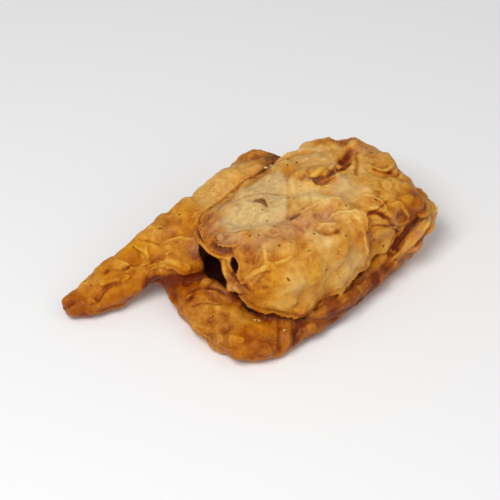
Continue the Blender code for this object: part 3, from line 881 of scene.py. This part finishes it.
# ---- Its finish ----
# Fried batter: cream to gold to red-brown, with a thin film of oil; steamed white flesh where
# the batter came away; and near-black painted shade in the pocket, slots and cracks.


def linear(red, green, blue):
    """An sRGB colour of 0 to 255 as the shader's linear one."""
    out = []
    for value in (red, green, blue):
        v = value / 255
        out.append(v / 12.92 if v <= 0.04045 else ((v + 0.055) / 1.055) ** 2.4)
    return (*out, 1.0)


def fill(tree, node, inputs):
    """Give each named input of a node its value, or the output that feeds it."""
    for name, value in inputs.items():
        if isinstance(value, bpy.types.NodeSocket):
            tree.links.new(value, node.inputs[name])
        else:
            node.inputs[name].default_value = value


def add_node(tree, kind, inputs, **settings):
    node = tree.nodes.new(kind)
    for name, value in settings.items():
        setattr(node, name, value)
    fill(tree, node, inputs)
    return node


class Finish:
    """A material, and short names for the nodes that feed its shader."""

    def __init__(self, name):
        self.material = bpy.data.materials.new(name)
        self.material.use_nodes = True
        self.place = self.node("TexCoord", {}).outputs["Object"]

    def node(self, kind, inputs, **settings):
        return add_node(self.material.node_tree, "ShaderNode" + kind, inputs, **settings)

    def shader(self, inputs):
        tree = self.material.node_tree
        fill(tree, tree.nodes["Principled BSDF"], inputs)

    def noise(self, spacing, detail=3.0, rough=0.55, warp=0.0):
        """Noise with features about spacing millimetres apart, from 0 to 1."""
        return self.node("TexNoise", {
            "Vector": self.place, "Scale": 1 / (spacing * MM), "Detail": detail,
            "Roughness": rough, "Distortion": warp,
        }).outputs["Fac"]

    def attribute(self, name):
        return self.node("Attribute", {}, attribute_name=name).outputs["Fac"]

    def math(self, operation, a, b, c=0.0):
        return self.node("Math", {0: a, 1: b, 2: c}, operation=operation).outputs[0]

    def span(self, value, low, high, to_low=0.0, to_high=1.0):
        inputs = {"Value": value, "From Min": low, "From Max": high, "To Min": to_low, "To Max": to_high}
        return self.node("MapRange", inputs, interpolation_type="SMOOTHSTEP").outputs["Result"]

    def ramp(self, value, places, colours):
        node = self.node("ValToRGB", {"Fac": value})
        stops = node.color_ramp.elements
        stops.remove(stops[1])
        for k, (place, colour) in enumerate(zip(places, colours)):
            stop = stops.new(place) if k else stops[0]
            stop.position = place
            stop.color = linear(*colour)
        return node.outputs["Color"]

    def mix(self, share, a, b):
        a, b = [linear(*value) if isinstance(value, tuple) else value for value in (a, b)]
        return self.node("Mix", {0: share, 6: a, 7: b}, data_type="RGBA").outputs[2]

    def bump(self, height, distance, strength, under=None):
        inputs = {"Height": height, "Distance": distance * MM, "Strength": strength}
        if under is not None:
            inputs["Normal"] = under
        return self.node("Bump", inputs).outputs["Normal"]


# The batter's colours from hardly fried to the darkest: gold where it is amber, tan where it isn't.
TONES = (0.0, 0.2, 0.4, 0.56, 0.7, 0.84, 1.0)
GOLD = [
    (246, 208, 104), (236, 184, 66), (221, 156, 30), (205, 130, 14), (184, 104, 9), (154, 74, 6),
    (112, 37, 8),
]
TAN = [
    (243, 212, 156), (232, 190, 124), (217, 165, 92), (199, 140, 66), (174, 110, 42), (136, 74, 32),
    (86, 40, 20),
]
BARE_FLESH = [(202, 160, 96), (220, 184, 122), (234, 206, 148)]
ROSY_FLESH = [(178, 122, 86), (212, 164, 132)]
SPECK = (92, 48, 22)
# The near black of the pocket, the slots and the cracks: painted shade.
PAINTED_SHADE_COLOUR = (54, 18, 17)
WARM_GLOSS = (1.0, 0.74, 0.4, 1)
batter = Finish("fried batter")
shade = batter.math("MULTIPLY_ADD", batter.noise(1.1, 4.0, 0.65), 0.12, batter.attribute("browning_and_shade"))
shade = batter.math("SUBTRACT", shade, 0.06)
tan = batter.ramp(shade, TONES, TAN)
colour = batter.mix(batter.attribute("amber"), tan, batter.ramp(shade, TONES, GOLD))
fibres = batter.noise(2.2, 5.0, 0.6, 0.4)
flesh = batter.ramp(fibres, (0.28, 0.5, 0.72), BARE_FLESH)
colour = batter.mix(batter.attribute("bare"), colour, flesh)
patchy_pink = batter.span(batter.noise(1.8), 0.35, 0.65, 0.5, 1.0)
rosy = batter.math("MULTIPLY", batter.attribute("pink"), patchy_pink)
colour = batter.mix(rosy, colour, batter.ramp(fibres, (0.3, 0.7), ROSY_FLESH))
specks = batter.span(batter.noise(0.9, 1.0, 0.4), 0.7, 0.76)
colour = batter.mix(batter.math("MULTIPLY", specks, 0.38), colour, SPECK)
crusty = batter.math("MULTIPLY_ADD", batter.attribute("bare"), -0.35, 0.45)
relief = batter.bump(batter.noise(0.9, 4.0, 0.65), 0.35, crusty)
batter.shader({
    # painted shade darkens the pocket, slots and cracks
    "Base Color": batter.mix(batter.attribute("painted_shade"), colour, PAINTED_SHADE_COLOUR),
    "Roughness": batter.span(batter.noise(5.0), 0.35, 0.65, 0.36, 0.62),
    "Normal": batter.bump(batter.noise(0.35, 2.0, 0.5), 0.1, crusty, under=relief),
    "Subsurface Weight": 0.12, "Subsurface Scale": 0.003, "Subsurface Radius": (1.0, 0.45, 0.2),
    "Specular IOR Level": 0.25, "Specular Tint": WARM_GLOSS,
    "Coat Weight": 0.03, "Coat Roughness": 0.2,
})
crust.data.materials.clear()
crust.data.materials.append(batter.material)
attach(crust, "root")
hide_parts("fillet")

# ---- The batter crumbs ----
# Grains of loose batter that fried on to the crust, half sunk in it and as brown as what is
# under them. They lie thickest on the under ply and the tail, and the smooth loin has few.
CRUMBS = 520
RAGGED_SCALE = 1100.0  # lumps of a grain per metre
SUNK = 0.05  # how deep a grain of full scale is sunk in the skin
crust_skin = skin_of(crust.data)


def grain_tree():
    """Ragged rounded grains, one on each place, lying along the skin and turned at random."""
    tree = bpy.data.node_groups.new("grains on the skin", "GeometryNodeTree")
    inputs = {"Places": "Geometry", "Length": "Float", "Width": "Float", "Thickness": "Float",
              "Raggedness": "Float", "Fineness": "Int", "Seed": "Int", "Finish": "Material"}
    for name, kind in inputs.items():
        tree.interface.new_socket(name, in_out="INPUT", socket_type="NodeSocket" + kind)
    tree.interface.new_socket("Grains", in_out="OUTPUT", socket_type="NodeSocketGeometry")

    def node(kind, inputs, **settings):
        return add_node(tree, kind, inputs, **settings).outputs

    given = node("NodeGroupInput", {})
    ball = node("GeometryNodeMeshIcoSphere", {"Radius": 1.0, "Subdivisions": given["Fineness"]})
    out = node("GeometryNodeInputNamedAttribute", {"Name": "out"}, data_type="FLOAT_VECTOR")
    size = node("GeometryNodeInputNamedAttribute", {"Name": "size"}, data_type="FLOAT")
    lying = node("FunctionNodeAlignRotationToVector", {"Vector": out["Attribute"]}, axis="Z")
    any_turn = node("FunctionNodeRandomValue", {3: 2 * math.pi, "Seed": given["Seed"]}, data_type="FLOAT")
    spin = node("FunctionNodeEulerToRotation", {0: node("ShaderNodeCombineXYZ", {"Z": any_turn[1]})[0]})
    turned = node("FunctionNodeRotateRotation", {0: lying[0], 1: spin[0]}, rotation_space="LOCAL")
    shape = node("ShaderNodeCombineXYZ", {
        "X": given["Length"], "Y": given["Width"], "Z": given["Thickness"],
    })
    sized = node("ShaderNodeVectorMath", {0: shape[0], "Scale": size["Attribute"]}, operation="SCALE")
    grains = node("GeometryNodeInstanceOnPoints", {
        "Points": given["Places"], "Instance": ball["Mesh"], "Rotation": turned[0], "Scale": sized[0],
    })
    real = node("GeometryNodeRealizeInstances", {0: grains[0]})
    rough = node("ShaderNodeTexNoise", {"Scale": RAGGED_SCALE, "Detail": 1.0})
    centred = node("ShaderNodeVectorMath", {0: rough["Color"], 1: (0.5, 0.5, 0.5)}, operation="SUBTRACT")
    push = node("ShaderNodeVectorMath", {0: centred[0], "Scale": given["Raggedness"]}, operation="SCALE")
    ragged = node("GeometryNodeSetPosition", {"Geometry": real[0], "Offset": push[0]})
    finished = node("GeometryNodeSetMaterial", {"Geometry": ragged[0], "Material": given["Finish"]})
    node("NodeGroupOutput", {"Grains": finished[0]})
    return tree


grains_on_skin = grain_tree()


def strewn(count, least, most, likely):
    """So many grains at random over the crust: a place and a scale for each."""
    chosen = random.choice(len(points), count, replace=False, p=likely / likely.sum())
    return list(zip(points[chosen].tolist(), random.uniform(least, most, count).tolist()))


def grains_at(name, grains, sunk, finish, fineness, seed, **sizes):
    """A piece of grains, each at its place on the crust's skin and sunk a little into it."""
    found = [crust_skin.find_nearest(spot) for spot, _ in grains]
    scales = np.array([scale for _, scale in grains])
    out = np.array([hit[1] for hit in found])
    rows = np.array([hit[0] for hit in found]) - out * sunk * scales[:, None]
    mesh = bpy.data.meshes.new(name)
    mesh.from_pydata((rows * MM).tolist(), [], [])
    store(mesh, "out", out, "FLOAT_VECTOR", "vector")
    store(mesh, "size", scales)
    below = [crust.data.polygons[hit[2]].vertices[0] for hit in found]
    for label, values in fried_and_shade_values.items():
        store(mesh, label, np.clip(values[below], 0, 1))
    piece = bpy.data.objects.new(name, mesh)
    scene.collection.objects.link(piece)
    grown = piece.modifiers.new("grains", "NODES")
    grown.node_group = grains_on_skin
    inputs = {label: value * MM for label, value in sizes.items()}
    inputs |= {"Fineness": fineness, "Seed": seed, "Finish": finish.material}
    for item in grains_on_skin.interface.items_tree:
        if item.in_out == "INPUT" and item.name in inputs:
            grown[item.identifier] = inputs[item.name]
    settle(piece)
    piece.data.shade_smooth()
    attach(piece, "root")


crumbly = (1 - calmness(points)) * rise(points[:, 2], 2, 5) * (1.1 - bare)
crumbly *= rise(waves(points, 8.0, 71), -0.4, 0.5)
crumbly *= (1 - 0.6 * rise(points[:, 2], 20, 30)) * (1 - np.clip(painted_shade, 0, 1))
grains_at(
    "batter_crumbs", strewn(CRUMBS, 0.45, 1.15, crumbly), SUNK, batter, fineness=2, seed=3,
    Length=0.625, Width=0.5, Thickness=0.32, Raggedness=0.5,
)

# ---- The pepper specks ----
# Coarse ground pepper out of the batter, stuck in its skin: dark brown grains of half a
# millimetre, the largest where they are named and the rest strewn all over.
PEPPER = 60
PEPPER_NAMED = [
    ((3, -39, 30), 1.3), ((-11, -23, 42), 1.2), ((1, 21, 33), 1.3), ((5, -27, 41), 1.1),
    ((32, 11, 41), 1.4), ((32, -36, 28), 1.2), ((36, -38, 23), 1.2), ((40, -28, 40), 1.5),
    ((61, -5, 40), 1.2), ((25, -26, 45), 1.0), ((41, -41, 14), 1.3), ((38, -41, 10), 1.1),
    ((-54, 36, 15), 1.3), ((-48, 31, 16), 1.1), ((-63, 37, 12), 1.1), ((-38, -12, 12), 1.1),
    ((-33, -26, 11), 1.0), ((-4, -8, 43), 1.1), ((-6, -15, 43), 1.0), ((-13, -13, 43), 1.2),
]


def grain_finish(name, spacing, dark, light, smooth, rough, pits, pit_depth):
    """A mottled finish from a dark colour to a light one, with pits."""
    finish = Finish(name)
    tone = finish.noise(spacing)
    finish.shader({
        "Base Color": finish.ramp(tone, (0.3, 0.7), (dark, light)),
        "Roughness": finish.span(tone, 0.3, 0.7, smooth, rough),
        "Normal": finish.bump(finish.noise(pits), pit_depth, finish.span(tone, 0.2, 0.8, 0.3, 0.5)),
    })
    return finish


pepper = grain_finish("ground pepper", 0.5, (84, 50, 18), (132, 90, 40), 0.5, 0.8, 0.25, 0.05)
pepper.shader({"Specular IOR Level": 0.1, "Specular Tint": WARM_GLOSS})
off_the_bed = rise(points[:, 2], 2, 6)
grains_at(
    "pepper_specks", PEPPER_NAMED + strewn(PEPPER, 0.5, 0.95, off_the_bed), SUNK, pepper,
    fineness=2, seed=5, Length=0.62, Width=0.34, Thickness=0.24, Raggedness=0.35,
)

# ---- The herb flecks ----
# Scraps of dried herb in the batter: flat olive-green flakes of one or two millimetres, most
# of them on the tail's back and beside the seam.
HERBS = 14
HERB_NAMED = [
    ((-16, -34, 34), 1.25), ((16, -35, 39), 1.0), ((-16, -11, 43), 1.0), ((-28, 32, 26), 1.1),
    ((-23, 32, 26), 1.2), ((-18, 31, 29), 1.0), ((-40, 36, 20), 1.1), ((32, 28, 34), 1.6),
    ((34, 29, 34), 1.3), ((30, 26, 35), 1.2), ((-63, 41, 12), 0.9), ((-26, 6, 36), 1.2),
    ((-1, 15, 39), 0.9),
]
herb = grain_finish("dried herb", 0.8, (100, 76, 20), (150, 122, 46), 0.55, 0.8, 0.3, 0.06)
herb.shader({"Specular IOR Level": 0.1, "Specular Tint": WARM_GLOSS})
grains_at(
    "herb_flecks", HERB_NAMED + strewn(HERBS, 0.5, 0.8, off_the_bed), 0.0, herb,
    fineness=3, seed=8, Length=0.85, Width=0.42, Thickness=0.16, Raggedness=0.4,
)

# ---- The pale flakes ----
# Flakes of set batter and herb that stayed pale: a greenish-white one on the dark patch behind
# the loin, crumbs on the under ply, and the wisp that stands off the lip's far corner.
PALE_NAMED = [
    ((27, 22.5, 37), 1.6), ((25, 23, 36), 1.2), ((-26, -25, 11), 0.95), ((-22, -38, 12), 0.95),
    ((-25, -26, 11), 0.8), ((-33, 21, 21), 0.7), ((-1, -16, 43), 0.7), ((2, -8, 44), 0.8),
    ((-3, -9, 43), 0.6),
]
pale = grain_finish("pale batter", 0.9, (202, 184, 112), (226, 214, 150), 0.45, 0.7, 0.3, 0.06)
grains_at(
    "pale_flakes", PALE_NAMED, 0.0, pale,
    fineness=3, seed=11, Length=0.8, Width=0.45, Thickness=0.22, Raggedness=0.4,
)
wisp = bmesh.new()
line = through([(67.5, -37, 21), (69, -37.5, 22.5), (69.8, -37.5, 24), (70.3, -37.4, 25.4)], 0.4)
angles = 2 * math.pi * np.arange(8)[:, None] / 8
section = np.cos(angles) * (0.9, 0.4, 0) + np.sin(angles) * (0.2, -0.5, 0.5)
loft(wisp, [place + thick * section for place, thick in zip(line, np.linspace(1.1, 0.3, len(line)))])
in_metres(wisp)
sliver = bpy.data.objects.new("crisp_sliver", bpy.data.meshes.new("crisp_sliver"))
wisp.to_mesh(sliver.data)
wisp.free()
scene.collection.objects.link(sliver)
sliver.data.materials.append(pale.material)
sliver.data.shade_smooth()
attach(sliver, "root")

# ---- The floor, the light and the camera ----
# A plain pale floor in a white room, under a soft lamp at the left and a weaker one in front, all
# seen from the front left and above.
bpy.ops.mesh.primitive_plane_add(size=6)
floor = bpy.context.object
floor.name = "pale_floor"
paint = Finish("pale floor")
paint.shader({"Base Color": (0.95, 0.95, 0.95, 1), "Roughness": 0.9})
floor.data.materials.append(paint.material)

world = bpy.data.worlds.new("soft white room")
world.use_nodes = True
fill(world.node_tree, world.node_tree.nodes["Background"], {"Color": (1, 1, 1, 1), "Strength": 0.32})
scene.world = world


def seen_from(azimuth, elevation):
    """The direction out from the food, in degrees round from its front and above the floor."""
    a, e = math.radians(azimuth), math.radians(elevation)
    return Vector((math.sin(a) * math.cos(e), -math.cos(a) * math.cos(e), math.sin(e)))


def soft_light(name, power, size, azimuth, elevation):
    """A square lamp a metre from the food, aimed at it."""
    data = bpy.data.lights.new(name, "AREA")
    data.energy = power
    data.size = size
    lamp = bpy.data.objects.new(name, data)
    scene.collection.objects.link(lamp)
    lamp.location = seen_from(azimuth, elevation)
    lamp.rotation_euler = (-lamp.location).to_track_quat("-Z", "Y").to_euler()


soft_light("key", power=6.3, size=0.5, azimuth=-75, elevation=58)
soft_light("fill", power=1.9, size=1.0, azimuth=5, elevation=45)

CAMERA_AZIMUTH = -43
CAMERA_ELEVATION = 42
CAMERA_DISTANCE = 0.9
FIELD = 0.212  # how wide the view is at the food
SENSOR = 36
AIM = (-4.733, 1.057, 20.0)
back = seen_from(CAMERA_AZIMUTH, CAMERA_ELEVATION)
camera_data = bpy.data.cameras.new("camera")
camera_data.sensor_width = SENSOR
camera_data.lens = SENSOR * CAMERA_DISTANCE / FIELD
camera = bpy.data.objects.new("camera", camera_data)
scene.collection.objects.link(camera)
camera.location = Vector(AIM) * MM + back * CAMERA_DISTANCE
camera.rotation_mode = "QUATERNION"
camera.rotation_quaternion = (-back).to_track_quat("-Z", "Y")
scene.camera = camera
scene.view_settings.view_transform = "Standard"
